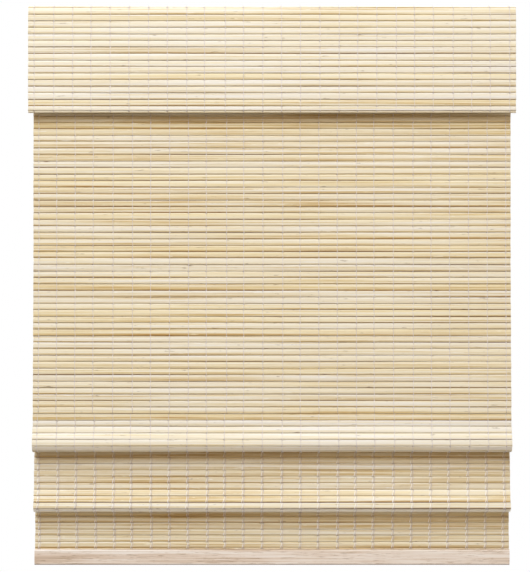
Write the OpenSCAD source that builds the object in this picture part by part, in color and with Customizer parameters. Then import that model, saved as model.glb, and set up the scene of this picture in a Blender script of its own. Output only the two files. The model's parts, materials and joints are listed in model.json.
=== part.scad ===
// Cordless bamboo roman shade: slat mat in two forward folds, valance, spring-lift headrail.
// X runs along the shade, -Y faces the room, +Z is up. The wall is the plane y = 0.
// The origin is the middle of the four wall screws.

/* [Overall] */
// Width of the main mat and of the headrail with its caps
shade_w = 685.8; // [500:0.1:900]
// How far the valance runs past the mat at each end
valance_past = 5.6; // [2:0.1:10]
// Drop of the valance's face
valance_h = 152.4; // [120:0.1:200]
// Drop from the valance's top to the bottom of the rail
drop = 804; // [740:1:1000]

/* [Mat] */
// Height of one slat, joint to joint
slat_pitch = 9.3; // [8:0.1:10]
// Thickness of a slat at its crown
slat_t = 2.4; // [1.8:0.1:2.6]
// Thickness of a slat at its shoulders
shoulder_t = 1.9; // [1.4:0.1:2.1]
// Distance from a joint to a slat's shoulder
shoulder_in = 1.3; // [1.2:0.05:1.6]
// Thickness at a joint, where the threads hold two slats together
joint_t = 0.7; // [0.5:0.05:1.0]

/* [Folds] */
// Height over which the main panel leans out towards the first fold
lean_h = 290; // [220:1:330]
// How far that lean brings it forward
lean_out = 8; // [4:0.5:11]
// How far the first fold stands forward of the panel
fold1_out = 15.4; // [13:0.1:18]
// Radius of the first fold
fold1_r = 12.5; // [11:0.1:14]
// Drop from the first fold to the second
section2_h = 85.5; // [78:0.5:110]
// How far the second section hangs behind the panel
section2_back = 5.5; // [4:0.1:7]
// How far the second fold stands forward of the panel
fold2_out = 3.6; // [2:0.1:5]
// Radius of the second fold
fold2_r = 8; // [7:0.1:9]
// Drop from the second fold to the top of the rail
section3_h = 56; // [48:0.5:80]
// How far the third section hangs behind the panel
section3_back = 16; // [14:0.1:18]
// Radius where the mat flares out above a fold
flare_r = 24; // [20:0.5:30]
// Straight stretch between a flare and its fold
flare_run = 13; // [9:0.5:16]
// Radius of the hidden turn at the top of a fold
turn_r = 5.5; // [5:0.1:6]
// How far the hidden turns lie behind the panel
turn_back = 19; // [18:0.1:21]
// Height of a hidden turn above the bottom of its fold
turn_up = 43; // [38:0.5:48]

/* [Bottom rail] */
// Height of the rail
rail_h = 22.2; // [18:0.1:30]
// Thickness of the rail
rail_t = 5; // [4:0.1:8]
// Chamfer along the rail's four long edges
rail_ease = 1.3; // [0.6:0.1:1.6]
// How far the mat ends above the rail's bottom
mat_end_up = 8; // [7:0.1:10]

/* [Headrail] */
// Depth of the channel
headrail_d = 44; // [43:0.5:52]
// Height of the channel
headrail_h = 34; // [33:0.5:40]
// Wall of the channel
headrail_t = 1; // [0.8:0.1:1.2]
// Width of the in-turned lips
lip_w = 7; // [6:0.5:8]
// Gap between the channel and the wall
wall_gap = 5; // [4.5:0.1:8]
// Thickness of the end caps
cap_t = 2; // [1.5:0.1:3]
// How far an end cap's plug reaches into the channel
cap_plug = 8; // [5:0.5:14]

/* [Brackets] */
// Distance from the mat's edge to the middle of a bracket
bracket_in = 92.9; // [70:0.1:110]
// Width of a bracket
bracket_w = 25; // [18:0.5:30]
// Sheet thickness of a bracket
bracket_t = 2; // [1.5:0.1:2.4]
// Vertical distance between a bracket's screw holes
screw_pitch = 16; // [12:0.5:20]
// Diameter of a bracket's screw hole
screw_hole_d = 5; // [4:0.1:6]

/* [Batten] */
// Thickness of the batten's rebated part, which sets the valance off the mat
batten_t = 9.7; // [7:0.1:14]
// Chamfer along the batten's top edge
batten_chamfer = 6; // [5.6:0.1:6.5]
// Overlap of the mat's top edge behind the batten
mat_grip = 21; // [15:0.5:24]
// Radius of the valance's turn over the batten
valance_turn_r = 7; // [6:0.1:8]

/* [Lift] */
// Distance from the mat's edge to the middle of a lift tape
tape_in = 142.9; // [138:0.1:170]
// Width of a lift tape
tape_w = 8; // [6:0.5:10]
// Thickness of a lift tape
tape_t = 0.5; // [0.4:0.05:0.6]
// How far the tapes run behind the middle of the mat
tape_back = 8.5; // [8:0.1:10]
// Height of the middle row of guide loops above the bottom of the first fold
row_up = 136.1; // [110:0.1:180]
// Distance between the middle and the upper row of guide loops
row_pitch = 200; // [160:1:210]
// Side of the square lift shaft
shaft_side = 6; // [5:0.1:6.4]
// Radius of a reel's core
reel_core_r = 8; // [7.5:0.1:8.2]
// Radius of the turns of tape on a reel
roll_r = 9; // [8.8:0.1:9.4]
// Radius of a reel's flange
reel_flange_r = 13; // [12.4:0.1:13.4]
// Width of the spring motor's case
motor_w = 48; // [36:1:70]
// Distance between the motor's two drums
drum_pitch = 17; // [16.6:0.1:17.3]

/* [Hidden] */
$fn = 64;

// Clearances: pieces that rest against each other, running bearings, pieces beside each other, screws in holes
seat = 0.3;
bearing = 0.05;
beside = 0.5;
screw_play = 0.1;
// How far a cut runs past the face it opens
cut = 1;

// Headrail: back, front, floor and top faces, and the inside
rail_back = -wall_gap;
rail_front = rail_back - headrail_d;
rail_top = headrail_h / 2;
inner_back = rail_back - headrail_t;
inner_front = rail_front + headrail_t;
inner_floor = -rail_top + headrail_t;
lip_under = rail_top - headrail_t;
channel_w = shade_w - 2 * cap_t;
bracket_pitch = shade_w - 2 * bracket_in;
tape_pitch = shade_w - 2 * tape_in;
valance_w = shade_w + 2 * valance_past;
// Low edge of the brackets' leaf and of the batten, above the channel's floor
skirt_z = -rail_top + 1;

// Depths of the mat, batten and valance
mat_y = rail_front - seat - slat_t / 2;
batten_back = mat_y - slat_t / 2 - seat;
batten_front = batten_back - batten_t;
valance_y = batten_front - seat - slat_t / 2;

// Heights: the leaf of the brackets, the valance's top, then depths below it
leaf_top = rail_top + seat + bracket_t;
top_z = leaf_top + seat + slat_t;
function below(depth) = top_z - depth;
mat_top_z = -rail_top + mat_grip;
rail_bottom_z = below(drop);
rail_top_z = rail_bottom_z + rail_h;
fold2_z = rail_top_z + section3_h + slat_t / 2;
fold1_z = fold2_z + section2_h;
mat_end_z = rail_bottom_z + mat_end_up;

// A mat hangs like a belt round rollers [y, z, radius, side]; side is 1 where it turns left along its way,
// -1 where it turns right. A roller of radius 0 is an end. Each run is a common tangent of two rollers.
function run_angle(a, b) =
    let (across = [b[0] - a[0], b[1] - a[1]], shift = b[3] * b[2] - a[3] * a[2])
    atan2(across[1], across[0]) - atan2(shift, sqrt(across * across - shift * shift));
function left_of(angle) = [-sin(angle), cos(angle)];
function touch(roller, angle) = [roller[0], roller[1]] - roller[3] * roller[2] * left_of(angle);
function turn_between(a, b, side) =
    let (turn = ((b - a) % 360 + 360) % 360)
    side > 0 ? turn : turn - 360;

// Stretches of the way: [length, start point, heading, signed radius or 0]
function stretches(rollers) =
    let (
        last = len(rollers) - 1,
        angles = [for (i = [0 : last - 1]) run_angle(rollers[i], rollers[i + 1])]
    )
    [for (i = [0 : last - 1]) each [
        let (a = touch(rollers[i], angles[i]), b = touch(rollers[i + 1], angles[i]))
            [norm(b - a), a, angles[i], 0],
        if (i < last - 1)
            let (
                side = rollers[i + 1][3],
                turn = turn_between(angles[i], angles[i + 1], side),
                r = rollers[i + 1][2]
            )
            [r * abs(turn) * PI / 180, touch(rollers[i + 1], angles[i]), angles[i], side * r]
    ]];
function sums(values) =
    [for (i = 0, t = 0; i <= len(values); t = t + (i < len(values) ? values[i] : 0), i = i + 1) t];

// The point at a distance along one stretch
function on_stretch(part, s) =
    part[3] == 0
    ? part[1] + s * [cos(part[2]), sin(part[2])]
    : let (angle = part[2] + s / part[3] * 180 / PI)
        part[1] + part[3] * (left_of(part[2]) - left_of(angle));

// Joints between slats, evenly spaced along the way
function joints(rollers) =
    let (
        parts = stretches(rollers),
        ends = sums([for (part = parts) part[0]]),
        total = ends[len(parts)],
        count = round(total / slat_pitch)
    )
    [for (i = [0 : count])
        let (
            s = total * i / count,
            k = max([for (j = [0 : len(parts) - 1]) if (ends[j] <= s || j == 0) j])
        )
        on_stretch(parts[k], s - ends[k])];

// Unit left normal of slat i, and of the joint between slats i - 1 and i
function slat_normal(p, i) =
    let (d = p[i + 1] - p[i])
    [-d[1], d[0]] / norm(d);
function joint_normal(p, i) =
    i == 0 ? slat_normal(p, 0)
    : i == len(p) - 1 ? slat_normal(p, i - 1)
    : let (n = slat_normal(p, i - 1) + slat_normal(p, i)) n / norm(n);

// One face of the mat: a low crown on every slat, drawn in to the joints. side is 1 for the left face.
function face(p, side) =
    [for (i = [0 : len(p) - 1]) each [
        p[i] + side * joint_t / 2 * joint_normal(p, i),
        if (i < len(p) - 1)
            let (d = (p[i + 1] - p[i]) / norm(p[i + 1] - p[i]), n = side * slat_normal(p, i))
            each [
                p[i] + shoulder_in * d + shoulder_t / 2 * n,
                (p[i] + p[i + 1]) / 2 + slat_t / 2 * n,
                p[i + 1] - shoulder_in * d + shoulder_t / 2 * n
            ]
    ]];
function reversed(list) = [for (i = [len(list) - 1 : -1 : 0]) list[i]];
function mat_outline(rollers) =
    let (p = joints(rollers))
    concat(face(p, 1), reversed(face(p, -1)));

// Roller of a flare, set so that the straight run from it to its fold has the stated length
function flare(y, fold) =
    let (
        away = fold[0] - (y - flare_r),
        shift = flare_r + fold[2],
        rise = sqrt(shift * shift + flare_run * flare_run - away * away)
    )
    [y - flare_r, fold[1] + rise, flare_r, -1];

// Rollers of the main mat, from its top edge to its end behind the rail
drape_r = 40;
fold1 = [mat_y - fold1_out + fold1_r, fold1_z + fold1_r, fold1_r, 1];
flare1 = flare(mat_y - lean_out, fold1);
// The lean is a wide arc over its upper part and straight below, tangent to the flare.
// A whole arc would have 2 here; more leaves a longer straight.
lean_share = 2.5;
lean_r = lean_h * lean_h / (lean_share * lean_out);
lean_z = flare1[1] + lean_h;
lean_arc_h = lean_h - sqrt(lean_h * lean_h - 2 * lean_r * lean_out);
fold2 = [mat_y - fold2_out + fold2_r, fold2_z + fold2_r, fold2_r, 1];
turn1 = [mat_y + turn_back, fold1_z + turn_up, turn_r, -1];
turn2 = [mat_y + turn_back, fold2_z + turn_up, turn_r, -1];
section2_y = mat_y + section2_back;
section3_y = mat_y + section3_back;
drape2_drop = 22;
drape3_drop = 12;
mat_rollers = [
    [mat_y, mat_top_z, 0, 1],
    [mat_y - lean_r, lean_z, lean_r, -1],
    flare1,
    fold1,
    turn1,
    [section2_y + drape_r, fold1_z - drape2_drop, drape_r, 1],
    flare(section2_y, fold2),
    fold2,
    turn2,
    [section3_y + drape_r, fold2_z - drape3_drop, drape_r, 1],
    [section3_y, mat_end_z, 0, 1]
];

// Rollers of the valance, from the back of the headrail over the batten to its lower edge
valance_top_z = leaf_top + seat + slat_t / 2;
valance_end_in = 2;
valance_rollers = [
    [rail_back - valance_end_in, valance_top_z, 0, 1],
    [valance_y + valance_turn_r, valance_top_z - valance_turn_r, valance_turn_r, 1],
    [valance_y, below(valance_h), 0, 1]
];

// Lift line: reel, down the back of the panel, over the hidden turns to the clip on the rail
function lean_at(z) =
    let (depth = max(0, lean_z - z), arc = min(depth, lean_arc_h))
    arc * arc / (2 * lean_r) + (depth - arc) * arc / lean_r;
tape_y = mat_y + tape_back;
axis_y = tape_y + tape_t / 2 + roll_r + seat;
turn_face = mat_y + turn_back + turn_r + slat_t / 2;
loop_stand = 4.5;
fold_tape_y = turn_face + loop_stand;
clip_wall = 2.6;
clip_front = section3_y + slat_t / 2 + seat;
clip_tape_y = clip_front + clip_wall;
clip_back = clip_tape_y + clip_wall;
clip_top_z = rail_top_z;
clip_slot_h = 6;
middle_z = fold1_z + row_up;
upper_z = middle_z + row_pitch;
middle_tape_y = tape_y - lean_at(middle_z);
tape_line = [
    [tape_y, 0],
    [tape_y, upper_z],
    [middle_tape_y, middle_z],
    [fold_tape_y, turn1[1]],
    [fold_tape_y, turn2[1]],
    [clip_tape_y, clip_top_z],
    [clip_tape_y, clip_top_z - clip_slot_h + beside]
];
function ribbon(p, t) = concat(
    [for (i = [0 : len(p) - 1]) p[i] + t / 2 * joint_normal(p, i)],
    [for (i = [len(p) - 1 : -1 : 0]) p[i] - t / 2 * joint_normal(p, i)]
);

// Reels, cradles and spring motor
reel_x = tape_pitch / 2;
reel_half = tape_w / 2 + beside;
flange_t = 1.2;
journal_r = 5;
cradle_t = 2;
cradle_in = reel_half + flange_t + seat;
cradle_floor_t = 1.5;
cradle_half = 15;
cradle_top = 11;
slot_w = tape_w + 3;
slot_d = 4;
shaft_past = 16;
storage_y = axis_y + drum_pitch;
case_t = 1.5;
case_plate_t = 2;
cover_t = 1.2;
case_top = lip_under - cover_t - beside - seat;
out_core_r = 6.5;
out_flange_r = 9;
out_journal_r = 4.5;
store_core_r = 4;
store_flange_r = 7;
store_journal_r = 2.5;
pin_past = 0.5;
case_half = motor_w / 2;
case_back = storage_y + store_flange_r + seat + case_t;
case_front = axis_y - out_flange_r - seat - case_t;
drum_half = case_half - case_plate_t - seat;
spring_t = 0.4;
spring_w = 2 * (drum_half - flange_t) - 2 * beside;
spring_play = 0.2;
coil_r = 6.4;

// Fasteners
screw_r = 1.6;
screw_head_r = 3;
screw_head_h = 2.2;
shank_r = screw_r - screw_play;
batten_screw_in = 43;
batten_screw_z = rail_top - batten_chamfer - screw_head_r - seat;
batten_screw_x = [for (i = [-2 : 2]) i * (shade_w - 2 * batten_screw_in) / 4];

// Guide loops
loop_w = tape_w + 5;
loop_h = 4;
loop_back = 3;
loop_ease = 1;
loop_slot_side = 0.8;
loop_slot_in = 1.6;

// Bottom rail's back face, its clips and their screws
rail_face = section3_y - slat_t / 2 - seat;
rail_hole_depth = 0.7 * rail_t;
clip_w = 16;
clip_ease = 1;
clip_foot_up = 0.8;
clip_hole_z = rail_bottom_z + mat_end_up / 2;
clip_screw_depth = 0.6 * rail_t;
clip_head_h = 1.8;

// Lays an outline in Y and Z along X, centred on x
module along_x(length, x = 0) {
    translate([x - length / 2, 0, 0])
        rotate([90, 0, 90])
            linear_extrude(length)
                children();
}

// A round bar along X, centred on x
module bar(r, length, x, y, z) {
    translate([x - length / 2, y, z])
        rotate([0, 90, 0])
            cylinder(h = length, r = r);
}

// A box from its low corner to its high one
module block(low, high) {
    translate(low)
        cube(high - low);
}

// Points on an arc, from one angle to another
function arc(middle, r, from, to, steps = 56) =
    [for (i = [0 : steps])
        let (a = from + (to - from) * i / steps)
        middle + r * [cos(a), sin(a)]];

// A rectangle in Y and Z with its four corners cut off
module cut_rectangle(y0, z0, y1, z1, c) {
    polygon([
        [y0 + c, z0], [y1 - c, z0], [y1, z0 + c], [y1, z1 - c],
        [y1 - c, z1], [y0 + c, z1], [y0, z1 - c], [y0, z0 + c]
    ]);
}

module headrail_channel() {
    color("gainsboro")
        difference() {
            along_x(channel_w)
                polygon([
                    [rail_back, -rail_top], [rail_back, rail_top], [rail_back - lip_w, rail_top],
                    [rail_back - lip_w, lip_under], [inner_back, lip_under], [inner_back, inner_floor],
                    [inner_front, inner_floor], [inner_front, lip_under],
                    [rail_front + lip_w, lip_under], [rail_front + lip_w, rail_top],
                    [rail_front, rail_top], [rail_front, -rail_top]
                ]);
            for (x = [-reel_x, reel_x])
                block(
                    [x - slot_w / 2, tape_y - slot_d / 2, -rail_top - cut],
                    [x + slot_w / 2, tape_y + slot_d / 2, inner_floor + cut]
                );
            for (x = batten_screw_x)
                translate([x, rail_front - cut, batten_screw_z])
                    rotate([-90, 0, 0])
                        cylinder(h = headrail_t + 2 * cut, r = screw_r);
        }
}

module end_cap(side) {
    plug_x = side * (channel_w / 2 - cap_plug / 2);
    plug_wall = 2;
    plug_ease = 1;
    cap_ease = 1.5;
    in_back = inner_back - seat;
    in_front = inner_front + seat;
    in_floor = inner_floor + seat;
    in_top = lip_under - seat;
    color("whitesmoke") {
        along_x(cap_t, side * (channel_w + cap_t) / 2)
            cut_rectangle(rail_front, -rail_top, rail_back, rail_top, cap_ease);
        along_x(cap_plug, plug_x)
            difference() {
                cut_rectangle(in_front, in_floor, in_back, in_top, plug_ease);
                cut_rectangle(
                    in_front + plug_wall, in_floor + plug_wall,
                    in_back - plug_wall, in_top - plug_wall, plug_ease
                );
            }
    }
}

module end_cap_left() {
    end_cap(-1);
}

module end_cap_right() {
    end_cap(1);
}

// Sheet steel clip: a leaf on the wall, a leaf over the channel, and two feet under the channel's lips
module wall_bracket(side) {
    x = side * bracket_pitch / 2;
    leaf_under = rail_top + seat;
    foot_top = lip_under - seat;
    foot_under = foot_top - bracket_t;
    leaf_in = 3;
    reach = lip_w - leaf_in;
    back_stem = rail_back - lip_w - beside;
    front_stem = rail_front + lip_w + beside;
    color("silver")
        difference() {
            along_x(bracket_w, x)
                polygon([
                    [0, skirt_z], [0, leaf_top], [rail_front + leaf_in, leaf_top],
                    [rail_front + leaf_in, leaf_under], [front_stem, leaf_under], [front_stem, foot_top],
                    [front_stem - reach, foot_top], [front_stem - reach, foot_under],
                    [front_stem + bracket_t, foot_under], [front_stem + bracket_t, leaf_under],
                    [back_stem - bracket_t, leaf_under], [back_stem - bracket_t, foot_under],
                    [back_stem + reach, foot_under], [back_stem + reach, foot_top],
                    [back_stem, foot_top], [back_stem, leaf_under],
                    [-bracket_t, leaf_under], [-bracket_t, skirt_z]
                ]);
            for (z = [-screw_pitch / 2, screw_pitch / 2])
                translate([x, -bracket_t - cut, z])
                    rotate([-90, 0, 0])
                        cylinder(h = bracket_t + 2 * cut, r = screw_hole_d / 2);
        }
}

module wall_bracket_left() {
    wall_bracket(-1);
}

module wall_bracket_right() {
    wall_bracket(1);
}

// Strips along the channel's lips that hold the valance, left out where the brackets lie
module grip_tape() {
    past = bracket_w / 2 + 2;
    end_in = 4;
    strip_w = lip_w - 3 * beside;
    ends = [-channel_w / 2 + end_in, -bracket_pitch / 2, bracket_pitch / 2, channel_w / 2 - end_in];
    color("dimgray")
        for (i = [0 : 2])
            for (y = [rail_back - strip_w - beside, rail_front + beside])
                block(
                    [ends[i] + (i > 0 ? past : 0), y, rail_top],
                    [ends[i + 1] - (i < 2 ? past : 0), y + strip_w, leaf_top]
                );
}

// Pine strip with a rebate over the mat's top edge
module mat_batten() {
    end_in = 3;
    color("burlywood")
        difference() {
            along_x(shade_w - 2 * end_in)
                polygon([
                    [batten_back, skirt_z], [batten_back, mat_top_z + seat],
                    [rail_front, mat_top_z + seat], [rail_front, rail_top],
                    [batten_front + batten_chamfer, rail_top],
                    [batten_front, rail_top - batten_chamfer], [batten_front, skirt_z]
                ]);
            for (x = batten_screw_x)
                translate([x, batten_front, batten_screw_z])
                    rotate([-90, 0, 0]) {
                        translate([0, 0, -cut])
                            cylinder(h = rail_front - batten_front + 2 * cut, r = screw_r);
                        cylinder(h = screw_head_h, r1 = screw_head_r, r2 = screw_r);
                    }
        }
}

module batten_screws() {
    past_wall = 4;
    color("darkgray")
        for (x = batten_screw_x)
            translate([x, batten_front, batten_screw_z])
                rotate([-90, 0, 0]) {
                    cylinder(h = rail_front - batten_front + headrail_t + past_wall, r = shank_r);
                    cylinder(h = screw_head_h - screw_play, r1 = screw_head_r - screw_play, r2 = shank_r);
                }
}

module valance_mat() {
    color("wheat")
        along_x(valance_w)
            polygon(mat_outline(valance_rollers));
}

module bamboo_mat() {
    color("wheat")
        along_x(shade_w)
            polygon(mat_outline(mat_rollers));
}

// Plastic tray with a bearing plate at each end for the two drums
module motor_case() {
    color("ivory")
        difference() {
            block([-case_half, case_front, inner_floor], [case_half, case_back, case_top]);
            block(
                [-case_half + case_plate_t, case_front + case_t, inner_floor + case_t],
                [case_half - case_plate_t, case_back - case_t, case_top + cut]
            );
            bar(out_journal_r + bearing, motor_w + 2 * cut, 0, axis_y, 0);
            bar(store_journal_r + bearing, motor_w + 2 * cut, 0, storage_y, 0);
        }
}

// Flat lid with a rib inside each long wall of the tray
module motor_cover() {
    rib_h = 2;
    rib_half = case_half - case_plate_t - seat;
    color("ivory") {
        block([-case_half, case_front, case_top], [case_half, case_back, case_top + cover_t]);
        for (y = [case_front + case_t + seat, case_back - case_t - seat - cover_t])
            block([-rib_half, y, case_top - rib_h], [rib_half, y + cover_t, case_top]);
    }
}

// Drum with two flanges and a journal at each end
module drum(core_r, flange_r, pin_r, y) {
    bar(core_r, 2 * drum_half, 0, y, 0);
    for (side = [-1, 1])
        bar(flange_r, flange_t, side * (drum_half - flange_t / 2), y, 0);
    bar(pin_r, motor_w + 2 * pin_past, 0, y, 0);
}

// The lift shaft's place, as a square bore through what turns with it
module shaft_bore(length, x) {
    side = shaft_side + 2 * bearing;
    along_x(length, x)
        translate([axis_y - side / 2, -side / 2])
            square(side);
}

module output_drum() {
    color("lightgray")
        difference() {
            drum(out_core_r, out_flange_r, out_journal_r, axis_y);
            shaft_bore(motor_w + 2 * (pin_past + cut), 0);
        }
}

module storage_drum() {
    color("lightgray")
        drum(store_core_r, store_flange_r, store_journal_r, storage_y);
}

// Spring strip: the coil on the storage drum, the free run, and the turn on the output drum
module motor_spring() {
    hole_r = out_core_r + spring_play;
    out_r = hole_r + spring_t;
    out_end = asin(hole_r / out_r);
    coil_start = 180 - asin((coil_r - spring_t) / coil_r);
    color("slategray")
        along_x(spring_w)
            difference() {
                polygon(concat(
                    arc([axis_y, 0], out_r, 90, 360 + out_end),
                    arc([storage_y, 0], coil_r, coil_start, 450)
                ));
                translate([axis_y, 0])
                    circle(r = hole_r);
                translate([storage_y, 0])
                    circle(r = store_core_r + spring_play);
            }
}

module lift_shaft() {
    color("silver")
        along_x(tape_pitch + 2 * shaft_past)
            translate([axis_y - shaft_side / 2, -shaft_side / 2])
                square(shaft_side);
}

// Saddle on the channel's floor with a bearing plate on each side of the reel
module reel_cradle(side) {
    x = side * reel_x;
    outer = cradle_in + cradle_t;
    color("ivory")
        difference() {
            union() {
                for (end = [-1, 1])
                    along_x(cradle_t, x + end * (cradle_in + cradle_t / 2))
                        polygon([
                            [axis_y - cradle_half, inner_floor], [axis_y + cradle_half, inner_floor],
                            [axis_y + cradle_half, 0], [axis_y + cradle_half / 2, cradle_top],
                            [axis_y - cradle_half / 2, cradle_top], [axis_y - cradle_half, 0]
                        ]);
                block(
                    [x - outer, axis_y - cradle_half, inner_floor],
                    [x + outer, axis_y + cradle_half, inner_floor + cradle_floor_t]
                );
            }
            bar(journal_r + bearing, 2 * (outer + cut), x, axis_y, 0);
            block(
                [x - slot_w / 2, tape_y - slot_d / 2, inner_floor - cut],
                [x + slot_w / 2, tape_y + slot_d / 2, inner_floor + cradle_floor_t + cut]
            );
        }
}

module reel_cradle_left() {
    reel_cradle(-1);
}

module reel_cradle_right() {
    reel_cradle(1);
}

module tape_reel(side) {
    x = side * reel_x;
    color("whitesmoke")
        difference() {
            union() {
                bar(reel_core_r, 2 * reel_half, x, axis_y, 0);
                for (end = [-1, 1])
                    bar(reel_flange_r, flange_t, x + end * (reel_half + flange_t / 2), axis_y, 0);
                bar(journal_r, 2 * (cradle_in + cradle_t + pin_past), x, axis_y, 0);
            }
            shaft_bore(2 * (cradle_in + cradle_t + pin_past + cut), x);
        }
}

module tape_reel_left() {
    tape_reel(-1);
}

module tape_reel_right() {
    tape_reel(1);
}

// The turns of tape that stay on a reel, as one ring
module tape_roll(side) {
    x = side * reel_x;
    color("linen")
        difference() {
            bar(roll_r, tape_w, x, axis_y, 0);
            bar(reel_core_r + bearing, tape_w + 2 * cut, x, axis_y, 0);
        }
}

module tape_roll_left() {
    tape_roll(-1);
}

module tape_roll_right() {
    tape_roll(1);
}

module lift_tape(side) {
    color("linen")
        along_x(tape_w, side * reel_x)
            polygon(ribbon(tape_line, tape_t));
}

module lift_tape_left() {
    lift_tape(-1);
}

module lift_tape_right() {
    lift_tape(1);
}

// Flat plastic loop on the mat's back, with a slot that the tape runs through
module guide_loop(x, mat_face, line_y, z) {
    half = loop_w / 2;
    back = line_y + loop_back;
    slot_half = tape_w / 2 + loop_slot_side;
    translate([0, 0, z - loop_h / 2])
        linear_extrude(loop_h)
            difference() {
                polygon([
                    [x - half, mat_face + seat], [x + half, mat_face + seat],
                    [x + half, back - loop_ease], [x + half - loop_ease, back],
                    [x - half + loop_ease, back], [x - half, back - loop_ease]
                ]);
                translate([x - slot_half, line_y - loop_slot_in])
                    square([2 * slot_half, 2 * loop_slot_in]);
            }
}

module guide_loops_upper() {
    color("white")
        for (x = [-reel_x, reel_x])
            guide_loop(x, mat_y + slat_t / 2, tape_y, upper_z);
}

module guide_loops_middle() {
    color("white")
        for (x = [-reel_x, reel_x])
            guide_loop(x, mat_y - lean_at(middle_z) + slat_t / 2, middle_tape_y, middle_z);
}

module guide_loops_folds() {
    color("white")
        for (x = [-reel_x, reel_x])
            for (turn = [turn1, turn2])
                guide_loop(x, turn_face, fold_tape_y, turn[1]);
}

// Flat wooden rail with eased edges, and a blind hole behind for each clip's screw
module bottom_rail() {
    color("tan")
        difference() {
            along_x(shade_w)
                cut_rectangle(rail_face - rail_t, rail_bottom_z, rail_face, rail_top_z, rail_ease);
            for (x = [-reel_x, reel_x])
                translate([x, rail_face + cut, clip_hole_z])
                    rotate([90, 0, 0])
                        cylinder(h = rail_hole_depth + cut, r = screw_r);
        }
}

// Clip: a foot screwed to the rail below the mat's end, and a back that takes the tape
module tape_clip(side) {
    x = side * reel_x;
    slot_half = tape_t / 2 + seat;
    slot_half_w = tape_w / 2 + beside;
    foot_top = mat_end_z - seat;
    foot_under = rail_bottom_z + clip_foot_up;
    color("white")
        difference() {
            along_x(clip_w, x)
                polygon([
                    [rail_face, foot_under], [clip_back - clip_ease, foot_under],
                    [clip_back, foot_under + clip_ease], [clip_back, clip_top_z - clip_ease],
                    [clip_back - clip_ease, clip_top_z], [clip_front, clip_top_z],
                    [clip_front, foot_top], [rail_face, foot_top]
                ]);
            block(
                [x - slot_half_w, clip_tape_y - slot_half, clip_top_z - clip_slot_h],
                [x + slot_half_w, clip_tape_y + slot_half, clip_top_z + cut]
            );
            translate([x, clip_back + cut, clip_hole_z])
                rotate([90, 0, 0])
                    cylinder(h = clip_back - rail_face + 2 * cut, r = screw_r);
        }
}

module tape_clip_left() {
    tape_clip(-1);
}

module tape_clip_right() {
    tape_clip(1);
}

module clip_screws() {
    color("darkgray")
        for (x = [-reel_x, reel_x])
            translate([x, clip_back, clip_hole_z])
                rotate([90, 0, 0]) {
                    cylinder(h = clip_back - rail_face + clip_screw_depth, r = shank_r);
                    translate([0, 0, -clip_head_h])
                        cylinder(h = clip_head_h, r = screw_head_r);
                }
}

headrail_channel();
end_cap_left();
end_cap_right();
wall_bracket_left();
wall_bracket_right();
grip_tape();
mat_batten();
batten_screws();
valance_mat();
bamboo_mat();
motor_case();
motor_cover();
motor_spring();
reel_cradle_left();
reel_cradle_right();
lift_tape_left();
lift_tape_right();
lift_shaft();
output_drum();
storage_drum();
tape_reel_left();
tape_reel_right();
tape_roll_left();
tape_roll_right();
guide_loops_upper();
guide_loops_middle();
guide_loops_folds();
bottom_rail();
tape_clip_left();
tape_clip_right();
clip_screws();
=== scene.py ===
"""Roman shade of split bamboo: valance, slat mat with two folds, spring headrail and wooden bottom rail."""
import json

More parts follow.
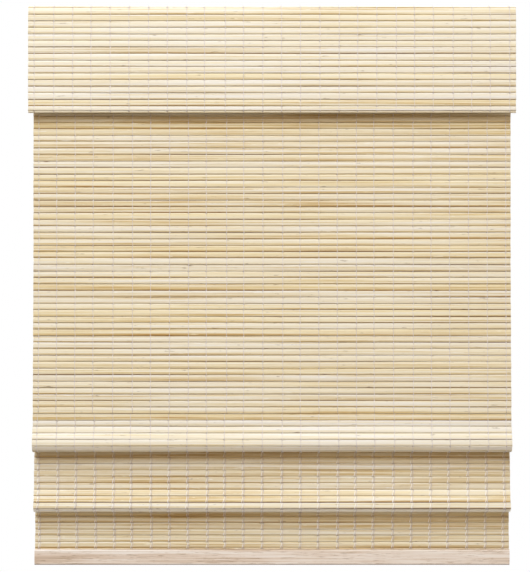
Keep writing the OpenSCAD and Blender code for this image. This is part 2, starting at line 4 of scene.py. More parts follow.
import bpy
import numpy as np
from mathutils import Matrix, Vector


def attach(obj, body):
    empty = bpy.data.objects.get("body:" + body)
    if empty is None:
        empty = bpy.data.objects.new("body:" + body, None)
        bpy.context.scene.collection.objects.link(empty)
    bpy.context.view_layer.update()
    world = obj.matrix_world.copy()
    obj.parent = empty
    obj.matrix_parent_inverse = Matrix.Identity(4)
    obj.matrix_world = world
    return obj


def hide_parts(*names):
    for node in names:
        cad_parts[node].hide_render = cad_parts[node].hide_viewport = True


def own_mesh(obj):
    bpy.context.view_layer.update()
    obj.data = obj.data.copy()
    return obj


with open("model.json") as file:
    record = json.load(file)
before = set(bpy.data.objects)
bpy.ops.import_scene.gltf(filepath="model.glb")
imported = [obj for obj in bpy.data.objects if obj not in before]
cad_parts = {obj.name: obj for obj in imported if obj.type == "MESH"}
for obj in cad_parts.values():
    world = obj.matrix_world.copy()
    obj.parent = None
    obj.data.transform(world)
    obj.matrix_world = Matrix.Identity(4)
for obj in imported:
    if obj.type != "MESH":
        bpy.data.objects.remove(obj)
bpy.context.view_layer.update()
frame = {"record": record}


# Headrail: a channel of roll-formed steel, open at the top between two in-turned lips.
# It is finished in baked cream enamel, carries everything else and snaps into the two wall brackets.
class Wire:
    """One value in a node tree: arithmetic on wires adds Math nodes, and node() adds any other kind."""

    def __init__(self, tree, socket=None):
        self.tree, self.socket = tree, socket

    def node(self, kind, settings=None, sockets=None, out=0):
        """Adds a node, makes its settings, sets or links its sockets, and gives the wire of one output."""
        made = self.tree.nodes.new(kind)
        for name, value in (settings or {}).items():
            if name == "stops":
                elements = made.color_ramp.elements
                for element, (place, colour) in zip((elements[0], elements[1]), (value[0], value[-1])):
                    element.position, element.color = place, (*colour, 1.0)
                for place, colour in value[1:-1]:
                    elements.new(place).color = (*colour, 1.0)
            else:
                setattr(made, name, value)
        for name, value in (sockets or {}).items():
            self.into(made.inputs[name], value)
        return Wire(self.tree, made.outputs[out])

    def into(self, socket, value):
        """Links a wire to a socket, or sets the socket's own value."""
        if isinstance(value, Wire):
            self.tree.links.new(value.socket, socket)
        else:
            socket.default_value = value

    def math(self, operation, *values):
        """One Math node on wires or numbers."""
        return self.node("ShaderNodeMath", {"operation": operation}, dict(enumerate(values)))

    def clamp(self, low=0.0, high=1.0):
        """The value kept between two limits."""
        return self.node("ShaderNodeClamp", None, {0: self, 1: low, 2: high})

    def __add__(self, other):
        return self.math("ADD", self, other)

    def __sub__(self, other):
        return self.math("SUBTRACT", self, other)

    def __rsub__(self, other):
        return self.math("SUBTRACT", other, self)

    def __mul__(self, other):
        return self.math("MULTIPLY", self, other)

    def __pow__(self, other):
        return self.math("POWER", self, other)

    __radd__, __rmul__ = __add__, __mul__


def finish(name, constants):
    """A new Principled material with its constant sockets set, its tree's wire and its shader's inputs."""
    made = bpy.data.materials.new(name)
    made.use_nodes = True
    inputs = made.node_tree.nodes["Principled BSDF"].inputs
    for socket, value in constants.items():
        inputs[socket].default_value = value
    return made, Wire(made.node_tree), inputs


def noise(tree, coords, scale, detail=3.0, roughness=0.55):
    """Fractal noise over coords stretched by a scale for each axis."""
    placed = tree.node("ShaderNodeMapping", None, {"Vector": coords, "Scale": scale})
    return tree.node("ShaderNodeTexNoise", None,
                     {"Vector": placed, "Scale": 1.0, "Detail": detail, "Roughness": roughness})


def ramp(tree, value, stops):
    """The colour that a value picks from stops of (value, colour)."""
    return tree.node("ShaderNodeValToRGB", {"stops": stops}, {"Fac": value})


def relief(tree, height, strength, distance):
    """The normal of a surface raised by a height."""
    return tree.node("ShaderNodeBump", None, {"Height": height, "Strength": strength, "Distance": distance})


def dress(made, *nodes):
    """Gives CAD nodes a material."""
    for node in nodes:
        slots = bpy.data.objects[node].data.materials
        slots.clear()
        slots.append(made)


def object_place(tree):
    """Object coordinates, in metres."""
    return tree.node("ShaderNodeTexCoord", out="Object")


enamel, tree, shader = finish("cream_enamel", {"Coat Weight": 0.15})
place = object_place(tree)
peel = noise(tree, place, (900, 900, 900), 2.0)
cloud = noise(tree, place, (14, 40, 40))
tree.into(shader["Base Color"], ramp(tree, cloud, [(0.3, (0.76, 0.72, 0.62)), (0.7, (0.82, 0.78, 0.69))]))
tree.into(shader["Roughness"], 0.36 + 0.14 * cloud)
tree.into(shader["Normal"], relief(tree, peel, 0.12, 0.0004))
dress(enamel, "headrail_channel")

# End caps: moulded cream plastic, pushed into the ends of the channel.
# The motor's case and cover, the tape clips and the guide loops are moulded in white plastic.
# The reels, their cradles and the motor's two drums are moulded in grey.
for name, low, high, nodes in (
        ("cream_plastic", (0.74, 0.70, 0.60), (0.80, 0.76, 0.67), ("end_cap_left", "end_cap_right")),
        ("white_plastic", (0.74, 0.74, 0.72), (0.80, 0.80, 0.78),
         ("motor_case", "motor_cover", "tape_clip_left", "tape_clip_right", "guide_loops_upper",
          "guide_loops_middle", "guide_loops_folds")),
        ("grey_plastic", (0.30, 0.31, 0.32), (0.37, 0.38, 0.39),
         ("reel_cradle_left", "reel_cradle_right", "tape_reel_left", "tape_reel_right",
          "output_drum", "storage_drum"))):
    plastic, tree, shader = finish(name, {"Specular IOR Level": 0.4})
    place = object_place(tree)
    spark = noise(tree, place, (1400, 1400, 1400), 2.0)
    flow = noise(tree, place, (60, 60, 60))
    tree.into(shader["Base Color"], ramp(tree, flow, [(0.3, low), (0.7, high)]))
    tree.into(shader["Roughness"], 0.42 + 0.16 * spark)
    tree.into(shader["Normal"], relief(tree, spark, 0.15, 0.0003))
    dress(plastic, *nodes)

# Wall brackets, screws and lift shaft: zinc-plated steel. The motor's spring is bare spring steel.
# The brackets are pressed from sheet and screwed to the wall, and the shaft is drawn square.
# The steel shows faint rolling lines along X and blurred plating flecks.
for name, low, high, rough, nodes in (
        ("zinc_plate", (0.58, 0.59, 0.60), (0.74, 0.75, 0.76), 0.30,
         ("wall_bracket_left", "wall_bracket_right", "batten_screws", "clip_screws", "lift_shaft")),
        ("spring_steel", (0.34, 0.36, 0.40), (0.48, 0.50, 0.54), 0.22, ("motor_spring",))):
    metal, tree, shader = finish(name, {"Metallic": 1.0})
    place = object_place(tree)
    fleck = noise(tree, place, (240, 240, 240), 4.0)
    rolled = noise(tree, place, (20, 1600, 1600), 2.0)
    tree.into(shader["Base Color"], ramp(tree, fleck, [(0.3, low), (0.7, high)]))
    tree.into(shader["Roughness"], rough + 0.2 * rolled)
    tree.into(shader["Normal"], relief(tree, rolled, 0.1, 0.0002))
    dress(metal, *nodes)

# Batten: a planed pine strip screwed to the channel, which nips the mat and carries the valance.
# The grip tape is a white hook-and-loop strip on the channel's lips, which holds the valance's top.
pine, tree, shader = finish("pine", {})
place = object_place(tree)
ring = noise(tree, place, (4, 160, 160), 4.0)
pore = noise(tree, place, (30, 1500, 1500), 2.0)
tree.into(shader["Base Color"], ramp(tree, ring, [(0.3, (0.62, 0.44, 0.25)), (0.5, (0.74, 0.57, 0.36)),
                                                 (0.7, (0.80, 0.65, 0.45))]))
tree.into(shader["Roughness"], 0.55 + 0.2 * pore)
tree.into(shader["Normal"], relief(tree, pore, 0.2, 0.0004))
dress(pine, "mat_batten")

loops, tree, shader = finish("loop_strip", {"Sheen Weight": 0.4})
place = object_place(tree)
pile = noise(tree, place, (1100, 1100, 1100), 2.0, 0.7)
tree.into(shader["Base Color"], ramp(tree, pile, [(0.3, (0.60, 0.59, 0.56)), (0.7, (0.78, 0.77, 0.74))]))
tree.into(shader["Roughness"], 0.8 + 0.15 * pile)
tree.into(shader["Normal"], relief(tree, pile, 0.6, 0.0008))
dress(loops, "grip_tape")

# Valance: 22 split-bamboo slats, wrapped over the headrail and hanging 6 in down its front.
# Each is a flat strip with rounded edges, laid edge to edge with the next and bound to it by twined cotton.
# The last slat is split, and its lower third is a narrow strip that is turned under a little.
SLAT_PITCH, SLAT_THICK, SLAT_LAP = 0.0093, 0.0024, 0.0001
SLAT_STATIONS, SLAT_AROUND, SLAT_END = 40, 16, 0.999
EDGE_POWER, FACE_POWER = 0.62, 0.66
JOINT_PLAY, END_PLAY, BOW_PLAY, THICK_PLAY = 0.03, 0.0005, 0.00012, 0.05
WAVE_PACE, FULL_TURN, MAP_STEP = 7.0, 6.283, 3.0

# A slat's own random paleness and warmth, and painted light and shade by how far forward (y) it stands:
# paler where it stands forward, darker where it is set back
TONE_LOW, TONE_SPAN, TONE_SHAPE = 0.257, 0.56, (2.2, 1.6)
# The last number pales the warmth of slats with a painted light factor over 1: a painted highlight
HONEY_MEAN, HONEY_SPREAD, HIGHLIGHT_PALING = 0.47, 0.10, 0.2
DEPTH_LIGHT_STOPS = np.array([(-0.0640, 1.16), (-0.0600, 0.92), (-0.0500, 0.92), (-0.0450, 0.60), (-0.0345, 0.70)])
# The brown of the painted shade in the grooves between slats, also used for real darker specks
SCAR_AND_GROOVE_SHADE_BROWN = (0.14, 0.062, 0.018, 1.0)

# A strand's points in the groove, and near the start and the end of each slat
TWINE_COLUMNS, TWINE_AROUND = 26, 5
TWINE_SHARE, TWINE_RADIUS = np.array([0.0, 0.13, 0.87]), np.array([0.00070, 0.00036, 0.00036])
TWINE_LIFT, TWINE_ROOM = np.array([0.85, 1.0, 1.0]), 0.00014
TWINE_SLANT, SLANT_STEP = np.array([1.5, -1.0, 1.0]), 0.0004
COLUMN_PLAY, TWINE_PLAY = 0.0007, 0.0002
# Cotton whiteness, a painted glint, and painted highlight and shadow dots at the grooves
TWINE_SHADE, GLINT_SHADE, GROOVE_HIGHLIGHT, SHADOW_DOT = 0.39, 0.75, 0.65, 0.03
GLINT_LOW, GLINT_POWER, GROOVE_GLINT = 0.2, 1.5, 0.35

# The same where both strands lie on one side. The second strand is darker, a painted shadow of the white
# one,
# and both are darker in the grooves: painted shade
PAIR_RADIUS, PAIR_STEP, PAIR_APART = 0.00046, -0.0008, 0.0011
PAIR_WHITE_AND_SHADOW, PAIR_GROOVE_SHADOW = np.array([0.95, 0.30]), 0.1

# The valance's own belt (y, z, radius, side), split strip, and factors of painted shade by slat number
VALANCE_HALF, VALANCE_SPAN = 0.3485, 0.3398
VALANCE_WAY = [(-0.0070, 0.0208, 0.0, 1), (-0.0562, 0.0138, 0.0070, 1), (-0.0632, -0.1320, 0.0, 1)]
STRIP_SHARE, STRIP_TUCK = 0.30, 0.0012
# Painted shade: the top slats, which face the light, are darker
TOP_PAINTED_SHADE = np.array([(4.0, 0.55), (6.0, 1.0)])
# Painted groove shade is lighter over the turn at the front edge
TURN_GROOVE_SHADE = np.array([(4.0, 1.0), (5.0, 0.85), (6.0, 0.85), (7.0, 1.0)])
VALANCE_SEED, VALANCE_TWINE_SEED = 1, 11


def leftward(angle):
    """Unit vectors (y, z) square to a heading, on its left."""
    return np.stack([-np.sin(angle), np.cos(angle)], -1)


def belt_joints(rollers, tail=0.0):
    """Points (y, z) a slat apart along a belt from the first roller (y, z, radius, side) to the last:
    straight between rollers and round each on its side, +1 for a left turn. One point lies a tail before
    the end, and all but the two ends are moved a little along the belt at random."""
    rollers = np.array(rollers)
    reach = np.diff(rollers[:, :2], axis=0)
    lever = np.diff(rollers[:, 3] * rollers[:, 2])
    tangent = np.sqrt((reach ** 2).sum(1) - lever ** 2)
    head = np.arctan2(reach[:, 1], reach[:, 0]) - np.arctan2(lever, tangent)
    signed = (rollers[:, 3] * rollers[:, 2])[:, None]
    start = rollers[:-1, :2] - signed[:-1] * leftward(head)
    stop = rollers[1:, :2] - signed[1:] * leftward(head)
    lengths, stretches = [], []
    for i, angle in enumerate(head):
        lengths.append(np.hypot(*(stop[i] - start[i])))
        stretches.append((start[i], angle, 0.0))
        if i + 1 < len(head):
            turn = (head[i + 1] - angle) % (2 * np.pi) - (2 * np.pi if rollers[i + 1, 3] < 0 else 0)
            bend = signed[i + 1, 0]
            lengths.append(abs(turn * bend))
            stretches.append((stop[i], angle, bend))
    ends = np.cumsum([0.0] + lengths)
    front = ends[-1] - tail
    steps = np.r_[np.linspace(0, front, int(np.round(front / SLAT_PITCH)) + 1)[:-1],
                  front + np.linspace(0, tail, int(np.ceil(tail / SLAT_PITCH)) + 1)]
    points = np.zeros((len(steps), 2))
    for (origin, angle, bend), begin in zip(stretches, ends):
        run = steps - begin
        if bend == 0:
            there = origin + run[:, None] * np.array([np.cos(angle), np.sin(angle)])
        else:
            there = origin + bend * (leftward(np.full_like(run, angle)) - leftward(angle + run / bend))
        points = np.where((run >= 0)[:, None], there, points)
    loose = np.random.default_rng(len(points)).normal(0, JOINT_PLAY, (len(points) - 2, 1))
    points[1:-1] += loose * np.diff(points, axis=0)[1:]
    return points


def tubes(name, rings, smooth=True):
    """Closed tubes: rings[n, k, m] is point m of ring k of tube n; rings join along k and wrap along m."""
    count, length, around = rings.shape[:3]
    index = np.arange(count * length * around).reshape(count, length, around)
    after = np.roll(index, -1, axis=2)
    walls = np.stack([index[:, :-1], after[:, :-1], after[:, 1:], index[:, 1:]], -1).reshape(-1, 4)
    caps = np.concatenate([index[:, 0, ::-1], index[:, -1]])
    mesh = bpy.data.meshes.new(name)
    mesh.from_pydata(rings.reshape(-1, 3).tolist(), [], walls.tolist() + caps.tolist())
    mesh.polygons.foreach_set("use_smooth", np.r_[np.full(len(walls), smooth), np.zeros(len(caps), bool)])
    piece = bpy.data.objects.new(name, mesh)
    bpy.context.collection.objects.link(piece)
    return piece


def note(piece, name, values):
    """Stores one number for each vertex."""
    piece.data.attributes.new(name, "FLOAT", "POINT").data.foreach_set("value", values.ravel())


def noted(tree, name):
    """A number stored by note()."""
    return tree.node("ShaderNodeAttribute", {"attribute_name": name}, out="Fac")


def wander(rng, count, x, size, waves=4):
    """A smooth random line for each slat: a sum of sines along x, of lengths from 0.9 m down."""
    phase = rng.uniform(0, FULL_TURN, (count, waves, 1))
    weight = rng.normal(0, 1, (count, waves, 1))
    order = np.arange(1, waves + 1)[None, :, None]
    return size * (weight * np.sin(WAVE_PACE * order * x + phase) / order).sum(1)


def slat_mat(name, joints, half, seed, first=0, painted_light_factor=1.0, groove_shade_factor=1.0):
    """Slats between joints: each is the superellipse (|cos t|^EDGE_POWER, |sin t|^FACE_POWER) of its width
    and thickness, carried along X with a small random bow, thickness and end of its own.
    It notes three numbers. The first is a random paleness times painted light and shade: paler where the
    slat stands forward, darker set back, times the slat's painted light factor, under 1 for painted shade
    and over 1 for a painted highlight. The second is a random warmth, paled where that factor is over 1 as
    part of the painted highlight. The third, across, runs from -1 to 1 over a slat's width, times the
    slat's factor of painted groove shade. The UV map lays the slats out flat, counted from number first."""
    rng = np.random.default_rng(seed)
    count = len(joints) - 1
    chord = np.diff(joints, axis=0)
    width = np.hypot(*chord.T)
    way = chord / width[:, None]
    normal = np.stack([-way[:, 1], way[:, 0]], -1)
    t = 2 * np.pi * np.arange(SLAT_AROUND) / SLAT_AROUND
    across = np.sign(np.cos(t)) * np.abs(np.cos(t)) ** EDGE_POWER
    depth = np.sign(np.sin(t)) * np.abs(np.sin(t)) ** FACE_POWER
    reach = half - rng.uniform(0.0, END_PLAY, (count, 1))
    x = np.r_[-1.0, np.linspace(-SLAT_END, SLAT_END, SLAT_STATIONS - 2), 1.0] * reach
    bow = wander(rng, count, x[:, None], BOW_PLAY)
    thick = 1 + wander(rng, count, x[:, None], THICK_PLAY)
    a = (width[:, None] / 2 + SLAT_LAP)[..., None] * across
    b = (SLAT_THICK / 2) * thick[..., None] * depth + bow[..., None]
    middle = (joints[:-1] + joints[1:]) / 2
    yz = middle[:, None, None] + a[..., None] * way[:, None, None] + b[..., None] * normal[:, None, None]
    rings = np.concatenate([np.broadcast_to(x[..., None, None], (*yz.shape[:3], 1)), yz], -1)
    piece = tubes(name, rings)
    spread = np.ones((count, SLAT_STATIONS, SLAT_AROUND))
    # Painted light and shade: paler forward, darker set back, times each slat's painted factor
    painted_depth_light = np.interp(middle[:, 0], *DEPTH_LIGHT_STOPS.T) * painted_light_factor
    tone = (TONE_LOW + TONE_SPAN * rng.beta(*TONE_SHAPE, count)) * painted_depth_light
    # The warmth is paled where the factor is over 1: part of a painted highlight
    honey = rng.normal(HONEY_MEAN, HONEY_SPREAD, count) - HIGHLIGHT_PALING * np.maximum(painted_light_factor - 1, 0.0)
    note(piece, "tone", spread * tone[:, None, None])
    note(piece, "honey", spread * honey[:, None, None])
    note(piece, "across", spread * across * np.broadcast_to(groove_shade_factor, count)[:, None, None])
    run = (first + np.arange(count) + 0.5)[:, None, None] * SLAT_PITCH + spread * across * SLAT_PITCH / 2
    flat = np.stack([spread * x[..., None], run + MAP_STEP * seed], -1).reshape(-1, 2)
    corner = np.empty(len(piece.data.loops), np.int32)
    piece.data.loops.foreach_get("vertex_index", corner)
    piece.data.uv_layers.new(name="slats").data.foreach_set("uv", flat[corner].ravel())
    return piece


def twined(name, joints, half_span, seed, loose=np.inf, lay=-1.0):
    """Twined cotton: at each column two strands pass the slats in turn, one before and one behind, and
    cross in the grooves, where they are thicker. From slat number loose on, both lie on one side, before
    the slats where lay is -1 and behind them where it is 1. A strand is a five-sided tube on that line.
    It notes one number: how white the cotton looks, with painted light and shade. A random glint
    for each slat is a painted highlight. In the grooves the strand in front gets a painted highlight dot
    and the one behind a painted shadow dot. Where both lie on one side, the second strand is a darker
    painted shadow of the first, and both are darker in the grooves."""
    count = len(joints) - 1
    both = np.arange(count) >= loose
    way = np.diff(joints, axis=0)
    way /= np.hypot(*way.T)[:, None]
    normal = np.stack([-way[:, 1], way[:, 0]], -1)
    shift = TWINE_SLANT * np.where(both, PAIR_STEP, SLANT_STEP)[:, None]
    apart = np.array([-1.0, 1.0])[:, None, None] * np.where(both, PAIR_APART, 0.0)[:, None]
    radius = np.where(both[:, None], PAIR_RADIUS, TWINE_RADIUS).ravel()
    radius[0] = radius[1]
    lift = TWINE_LIFT * (SLAT_THICK / 2 + TWINE_ROOM)
    base = joints[:-1, None] + TWINE_SHARE[:, None] * np.diff(joints, axis=0)[:, None]
    turns = (np.arange(count)[None] + np.arange(2)[:, None]) % 2
    front = np.where(both, lay, np.where(turns == 0, -1.0, 1.0))[..., None]
    side = np.where(TWINE_SHARE == 0, np.where(both, lay, -1.0)[:, None], front)
    rng = np.random.default_rng(seed)
    x0 = np.linspace(-half_span, half_span, TWINE_COLUMNS) + rng.normal(0, COLUMN_PLAY, TWINE_COLUMNS)
    x = x0[:, None, None, None] - front * shift + apart
    strands = 2 * TWINE_COLUMNS
    x = (x + rng.normal(0, TWINE_PLAY, (TWINE_COLUMNS, 2, count, 3))).reshape(strands, -1)
    centre = base[None] + (side * lift)[..., None] * normal[None, :, None]
    yz = np.broadcast_to(centre[None], (TWINE_COLUMNS, 2, count, 3, 2)).reshape(strands, -1, 2)
    up = np.broadcast_to(normal[None, :, None], (strands, count, 3, 2)).reshape(strands, -1, 2)
    turn = 2 * np.pi * np.arange(TWINE_AROUND) / TWINE_AROUND
    rings = np.concatenate([
        (x[..., None] + radius[:, None] * np.sin(turn))[..., None],
        yz[:, :, None] + (radius[:, None] * np.cos(turn))[..., None] * up[:, :, None]], -1)
    piece = tubes(name, rings)
    glint = rng.random((1, 1, count)) ** GLINT_POWER
    glint = glint * rng.uniform(GLINT_LOW, 1.0, (TWINE_COLUMNS, 2, count))
    shade = np.where(both, PAIR_WHITE_AND_SHADOW[:, None], TWINE_SHADE)
    # Painted highlight and shadow dots in the grooves; where both strands lie on one side, painted groove
    # shade
    groove = np.where(front[..., 0] < 0, GROOVE_HIGHLIGHT + GROOVE_GLINT * glint, SHADOW_DOT)
    groove_dots = np.where(both, PAIR_GROOVE_SHADOW, groove)
    pulled = np.stack(np.broadcast_arrays(groove_dots, shade + (GLINT_SHADE - shade) * glint, shade), -1)
    note(piece, "pulled", np.repeat(pulled.reshape(strands, -1, 1), TWINE_AROUND, 2))
    return piece


def blend(tree, amount, under, over, mode="MIX"):
    """Two colours mixed, or multiplied, by an amount."""
    return tree.node("ShaderNodeMix", {"data_type": "RGBA", "blend_type": mode},
                     {0: amount, 6: under, 7: over}, out=2)


bamboo, tree, shader = finish("split_bamboo", {"Specular IOR Level": 0.35})
flat = tree.node("ShaderNodeUVMap", {"uv_map": "slats"})
fibre = noise(tree, flat, (26, 2600, 1), 4.0, 0.65)
drift = noise(tree, flat, (5.0, 120, 1), 3.0)
mottle = noise(tree, flat, (60, 420, 1), 3.0)
band = noise(tree, flat, (3.0, 460, 1), 2.0)
speck = noise(tree, flat, (45, 300, 1), 4.0, 0.6)
tone, honey, across = (noted(tree, name) for name in ("tone", "honey", "across"))
scar = (speck - 0.648).clamp() * 7.0
node = (noise(tree, flat, (32, 230, 1), 4.0, 0.6) - 0.64).clamp() * 3.0
# Painted shade in the grooves: slat edges go brown by random amounts; the scars are real specks
edge = across.math("ABSOLUTE", across) ** 9.0
groove = 5.2 * noise(tree, flat, (2.5, 190, 1), 2.0) - 1.6
# The first term carries the painted light and shade noted with each slat
value = 0.52 * tone + 0.40 * drift + 0.30 * fibre + 0.12 * mottle + 1.17 * band - 0.623
# Bamboo nodes are paler; each hanging slat's lower part is darker: painted shade where it turns from the
# light
value = value + node - 0.16 * (across * 1.6 - 0.5 + 0.5 * mottle).clamp()
straw = ramp(tree, value, [(0.20, (0.44, 0.25, 0.075)), (0.38, (0.64, 0.49, 0.26)),
                           (0.52, (0.76, 0.66, 0.45)), (0.66, (0.83, 0.76, 0.59)),
                           (0.85, (0.865, 0.825, 0.715))])
# The noted warmth is already paled on slats given a painted highlight
warmth = honey + 1.4 * noise(tree, flat, (4.0, 330, 1), 3.0) - 0.7
stalk = ramp(tree, warmth, [(0.1, (0.99, 1.02, 1.15)), (0.9, (1.02, 0.96, 0.77))])
straw = blend(tree, 1.0, straw, stalk, "MULTIPLY")
dark = edge * groove.clamp(0.25, 2.4) + scar
tree.into(shader["Base Color"], blend(tree, dark.clamp(0.0, 0.95), straw, SCAR_AND_GROOVE_SHADE_BROWN))
tree.into(shader["Roughness"], 0.42 + 0.25 * fibre)
tree.into(shader["Normal"], relief(tree, fibre * 0.6 + scar, 0.35, 0.0006))

cotton, tree, shader = finish("cotton_twine", {"Sheen Weight": 0.3})
ply = noise(tree, object_place(tree), (1500, 1500, 1500), 2.0)
# The noted number picks white cotton, or the brown of the painted shadow dots and shade
whiteness = 0.1 * ply + 0.9 * noted(tree, "pulled")
tree.into(shader["Base Color"], ramp(tree, whiteness, [
    (0.04, (0.26, 0.19, 0.15)), (0.15, (0.46, 0.40, 0.41)),
    (0.33, (0.66, 0.60, 0.60)), (0.8, (0.93, 0.91, 0.92))]))
tree.into(shader["Roughness"], 0.7 + 0.2 * ply)
tree.into(shader["Normal"], relief(tree, ply, 0.4, 0.0003))


def hang(piece, made, body):
    """Gives a new piece its material and the body it rides on."""
    piece.data.materials.append(made)
    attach(piece, body)


valance_joints = belt_joints(VALANCE_WAY)
strip_top = valance_joints[-1] + STRIP_SHARE * (valance_joints[-2] - valance_joints[-1])
valance_joints = np.vstack([valance_joints[:-1], strip_top, valance_joints[-1] + (STRIP_TUCK, 0.0)])
number = np.arange(len(valance_joints) - 1)
valance = slat_mat("valance_slats", valance_joints, VALANCE_HALF, VALANCE_SEED, 0,
                   np.interp(number, *TOP_PAINTED_SHADE.T), np.interp(number, *TURN_GROOVE_SHADE.T))
valance_twine = twined("valance_twine", valance_joints, VALANCE_SPAN, VALANCE_TWINE_SEED)
hang(valance, bamboo, "headrail")
hang(valance_twine, cotton, "headrail")
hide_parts("valance_mat")

# Mat: 110 slats in one length, nipped behind the batten and hanging to the rail through two dressed folds.
# The panel's pieces ride on the headrail, the folds' on the rail, and the panel's get meshes of their own.
MAT_HALF, MAT_SPAN, MAT_TAIL = 0.3429, 0.3354, 0.0152
MAT_WAY = [(-0.0505, 0.0040, 0.0, 1), (-4.2555, -0.2890, 4.2050, -1), (-0.0825, -0.5790, 0.0240, -1),
           (-0.0534, -0.6046, 0.0125, 1), (-0.0315, -0.5741, 0.0055, -1), (-0.0050, -0.6391, 0.0400, 1),
           (-0.0690, -0.6687, 0.0240, -1), (-0.0461, -0.6962, 0.0080, 1), (-0.0315, -0.6596, 0.0055, -1),
           (0.0055, -0.7146, 0.0400, 1), (-0.0345, -0.7740, 0.0, 1)]
PANEL_TOP, PANEL_END = 2, 61
MAT_SEED, MAT_TWINE_SEED, BACK_TWINE_SEED = 2, 12, 13

# Painted light and shade by slat number: factors on the slats' paleness, lower under the valance and folds
# for painted shadow and higher on the fold noses for a painted highlight, and factors on painted groove
# shade
PAINTED_LIGHT_BY_SLAT = np.array([(12.5, 1.0), (13.8, 0.8), (15.0, 0.65), (16.0, 0.55), (17.0, 0.65), (18.0, 0.85),
                    (20.0, 1.0), (62.0, 1.0), (63.0, 1.22), (67.0, 1.22), (68.0, 1.0), (78.0, 1.0),
                    (79.0, 0.95), (80.0, 0.95), (81.0, 1.0), (82.5, 1.0), (85.5, 0.95), (87.0, 0.6),
                    (87.6, 1.6), (89.0, 1.6), (101.0, 0.85), (102.0, 0.9), (103.5, 1.0)])
SLAT_GROOVE_SHADE = np.array([(12.0, 1.0), (13.0, 0.93), (18.0, 0.93), (20.0, 1.0), (61.0, 1.0), (62.0, 0.96),
                 (67.0, 0.96), (68.0, 1.0), (79.0, 1.0), (80.0, 0.89), (86.0, 0.89), (87.0, 1.0),
                 (100.0, 1.0), (101.0, 0.92), (106.0, 0.92), (107.0, 0.85)])

mat_joints = belt_joints(MAT_WAY, MAT_TAIL)
joints = frame["record"]["behaviour"]["joints"]
lift_travel = next(joint["range_m"][1] for joint in joints if joint["name"] == "lift")
panel_top, panel_end = mat_joints[PANEL_TOP, 1], mat_joints[PANEL_END, 1]
panel_keep = 1 - lift_travel / (panel_top - panel_end)


def gather(piece):
    """Gives a piece of the panel a mesh of its own."""
    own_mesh(piece)


for name, first, last, body in (("mat_top", 0, PANEL_TOP, "headrail"),
                                ("mat_panel", PANEL_TOP, PANEL_END, "headrail"),
                                ("mat_folds", PANEL_END, len(mat_joints) - 1, "rail")):
    part = mat_joints[first:last + 1]
    number = np.arange(first, last)
    slats = slat_mat(name + "_slats", part, MAT_HALF, MAT_SEED + first, first,
                     np.interp(number, *PAINTED_LIGHT_BY_SLAT.T), np.interp(number, *SLAT_GROOVE_SHADE.T))
    fold_turns = np.flatnonzero(np.diff(np.sign(np.diff(part[:, 1])))) + 1
    loose = fold_turns[1] if body == "rail" else np.inf
    twines = [twined(name + "_twine", part, MAT_SPAN, MAT_TWINE_SEED + first, loose)]
    if body == "rail":
        twines.append(twined(name + "_back_twine", part[loose:], MAT_SPAN, BACK_TWINE_SEED + first, 0, 1.0))
    for piece in (slats, *twines):
        hang(piece, bamboo if piece is slats else cotton, body)
        if name == "mat_panel":
            gather(piece)
    "folded" if body == "rail" else "hung"
    "bottom_rail" if body == "rail" else "mat_batten"
    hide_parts("bamboo_mat")

# Lift tapes: two flat woven polyester tapes, from the reels down behind the mat and through the loops.
# Each is wound on its reel at the top and held by a clip at the rail.
TAPE_HALF_W, TAPE_HALF_T, TAPE_X, TAPE_STEPS = 0.0040, 0.00025, 0.200, 12
TAPE_WAY = np.array([(-0.0420, 0.0), (-0.0420, -0.281), (-0.04626, -0.481), (-0.0203, -0.5741),
                     (-0.0203, -0.6596), (-0.0304, -0.7598), (-0.0304, -0.7653)])
tape_cloth, tree, shader = finish("woven_tape", {})
place = object_place(tree)
warp = tree.node("ShaderNodeTexWave", {"bands_direction": "X"}, {"Vector": place, "Scale": 500.0})
weft = tree.node("ShaderNodeTexWave", {"bands_direction": "Z"}, {"Vector": place, "Scale": 380.0})
weave = [(0.0, (0.66, 0.63, 0.55)), (0.6, (0.83, 0.81, 0.74))]
tree.into(shader["Base Color"], ramp(tree, warp * weft, weave))
tree.into(shader["Roughness"], 0.75 + 0.15 * weft)
tree.into(shader["Normal"], relief(tree, warp + weft, 0.4, 0.0003))
dress(tape_cloth, "tape_roll_left", "tape_roll_right")


def tape(name, x, top, end):
    """A flat strip of rectangular section carried along the tape's way between two heights, in even steps
    from bend to bend."""
    between = TAPE_WAY[(TAPE_WAY[:, 1] < top) & (TAPE_WAY[:, 1] > end), 1]
    bends = np.r_[top, between, end]
    runs = [np.linspace(a, b, TAPE_STEPS)[:-1] for a, b in zip(bends[:-1], bends[1:])]
    z = np.concatenate(runs + [[end]])
    y = np.interp(-z, -TAPE_WAY[:, 1], TAPE_WAY[:, 0])
    corners = np.array([(1, 1), (-1, 1), (-1, -1), (1, -1)]) * np.array([TAPE_HALF_T, TAPE_HALF_W])
    rings = np.stack([np.broadcast_to(x + corners[:, 1], (len(z), 4)), y[:, None] + corners[:, 0],
                      np.broadcast_to(z[:, None], (len(z), 4))], -1)
    return tubes(name, rings[None], smooth=False)


for side, x in (("left", -TAPE_X), ("right", TAPE_X)):
    for name, top, end, body in (("top", TAPE_WAY[0, 1], panel_top, "headrail"),
                                 ("panel", panel_top, panel_end, "headrail"),
                                 ("folds", panel_end, TAPE_WAY[-1, 1], "rail")):
        piece = tape(f"tape_{name}_{side}", x, top, end)
        hang(piece, tape_cloth, body)
        if name == "panel":
            gather(piece)
        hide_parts(f"lift_tape_{side}")

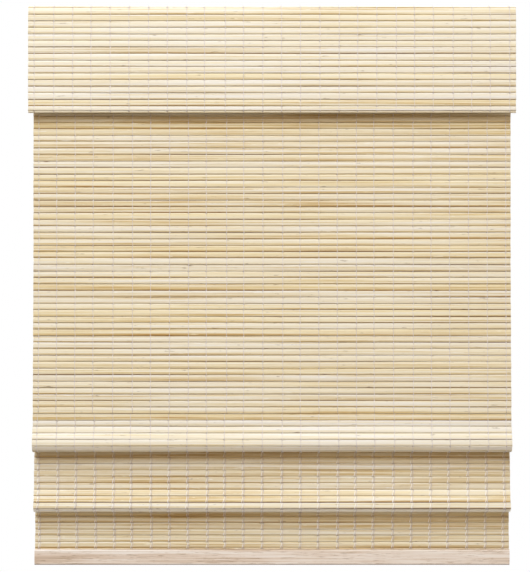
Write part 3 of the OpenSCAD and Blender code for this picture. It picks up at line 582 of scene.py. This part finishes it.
# Bottom rail: a planed strip of pale wood, 7/8 in high, its long edges eased.
# It lies along the mat's lower edge, in front of it, and holds the two tape clips.
# Its eased edges are made darker, under the first height given here and over the second: painted shade
# where the lower edge turns under and on the top edge, which faces the light.
RAIL_LOW, LOW_RISE, LOW_EDGE_SHADE = -0.7803, 700.0, 0.75
RAIL_HIGH, HIGH_RISE, HIGH_EDGE_SHADE = -0.7606, 500.0, 0.3
rail_wood, tree, shader = finish("rail_wood", {"Specular IOR Level": 0.35})
place = object_place(tree)
figure = noise(tree, place, (9, 260, 260), 5.0, 0.6)
streak = noise(tree, place, (3.5, 120, 420), 3.0)
pore = noise(tree, place, (45, 1500, 1500), 3.0, 0.6)
dash = (pore - 0.60).clamp() * 4.0
slow = noise(tree, place, (2.2, 40, 75), 2.0)
height = tree.node("ShaderNodeSeparateXYZ", None, {0: place}, out="Z")
# Painted shade along the lower and the upper edge
painted_edge_shade = ((RAIL_LOW - height) * LOW_RISE).clamp(0.0, LOW_EDGE_SHADE)
painted_edge_shade = painted_edge_shade + ((height - RAIL_HIGH) * HIGH_RISE).clamp(0.0, HIGH_EDGE_SHADE)
# The wood's figure and streaks, less the painted edge shade
grain_and_edge_shade = 0.54 * figure + 0.48 * streak + 0.54 * slow - dash - painted_edge_shade - 0.28
tree.into(shader["Base Color"], ramp(tree, grain_and_edge_shade, [
    (0.14, (0.26, 0.17, 0.11)), (0.28, (0.44, 0.31, 0.21)), (0.42, (0.71, 0.58, 0.47)),
    (0.52, (0.82, 0.73, 0.65)), (0.64, (0.88, 0.82, 0.76))]))
tree.into(shader["Roughness"], 0.5 + 0.2 * pore)
tree.into(shader["Normal"], relief(tree, pore, 0.2, 0.0003))
dress(rail_wood, "bottom_rail")

# Studio: a pale floor below the shade, a large soft light from the upper left, four weaker ones and a white
# surround. The camera stands square to the shade at the photograph's distance.
FLOOR_Z, FLOOR_R, FLOOR_SIDES = -1.6, 1.1, 96
LIGHT_AIM = Vector((0, 0, -0.38))
LENS_MM, SENSOR_MM, CAMERA_SPOT = 99.34, 36.0, (-0.0101, -2.152, -0.3794)
turn = np.linspace(0, 2 * np.pi, FLOOR_SIDES, endpoint=False)
rim = np.stack([FLOOR_R * np.cos(turn), FLOOR_R * np.sin(turn), np.full(FLOOR_SIDES, FLOOR_Z)], -1)
floor_mesh = bpy.data.meshes.new("floor")
floor_mesh.from_pydata(rim.tolist(), [], [list(range(FLOOR_SIDES))])
floor = bpy.data.objects.new("floor", floor_mesh)
bpy.context.collection.objects.link(floor)
pale, tree, shader = finish("pale_floor", {"Roughness": 0.9})
cloud = noise(tree, object_place(tree), (3, 3, 3))
tree.into(shader["Base Color"], ramp(tree, cloud, [(0.3, (0.80, 0.80, 0.79)), (0.7, (0.83, 0.83, 0.82))]))
floor_mesh.materials.append(pale)

scene = bpy.context.scene
scene.view_settings.view_transform = "Standard"
world = bpy.data.worlds.new("surround")
world.use_nodes = True
scene.world = world
tree = Wire(world.node_tree)
backing = world.node_tree.nodes["Background"]
output = world.node_tree.nodes["World Output"]
seen, mirrored, through = (tree.node("ShaderNodeLightPath", out=f"Is {kind} Ray")
                           for kind in ("Camera", "Glossy", "Transmission"))
shown = (seen + mirrored + through).clamp()
soft = tree.node("ShaderNodeBackground", None, {"Color": (1.0, 0.72, 0.44, 1.0), "Strength": 0.17})
white = tree.node("ShaderNodeBackground", None, {"Color": (1.0, 1.0, 1.0, 1.0), "Strength": 1.0})
mixed = tree.node("ShaderNodeMixShader", None, {0: shown, 1: soft, 2: white})
tree.into(output.inputs["Surface"], mixed)
world.node_tree.nodes.remove(backing)

for name, spot, size, power, colour in (("key", (-0.85, -2.5, 2.95), 2.7, 230.0, (0.89, 0.95, 1.02)),
                                        ("fill", (0.6, -3.0, 0.2), 1.8, 15.0, (1.0, 0.72, 0.42)),
                                        ("back", (0.9, 3.0, 2.0), 3.0, 110.0, (1.0, 1.0, 1.0)),
                                        ("left", (-3.0, 0.8, 0.4), 2.0, 24.0, (1.0, 1.0, 1.0)),
                                        ("right", (3.0, 0.8, 0.4), 2.0, 24.0, (1.0, 1.0, 1.0))):
    lamp = bpy.data.lights.new(name, "AREA")
    lamp.size, lamp.energy, lamp.color = size, power, colour
    holder = bpy.data.objects.new(name, lamp)
    holder.location = spot
    holder.rotation_euler = (LIGHT_AIM - Vector(spot)).to_track_quat("-Z", "Y").to_euler()
    bpy.context.collection.objects.link(holder)

lens = bpy.data.cameras.new("camera")
lens.sensor_fit, lens.sensor_width, lens.lens = "HORIZONTAL", SENSOR_MM, LENS_MM
camera = bpy.data.objects.new("camera", lens)
camera.location = CAMERA_SPOT
camera.rotation_euler = (np.pi / 2, 0, 0)
bpy.context.collection.objects.link(camera)
scene.camera = camera
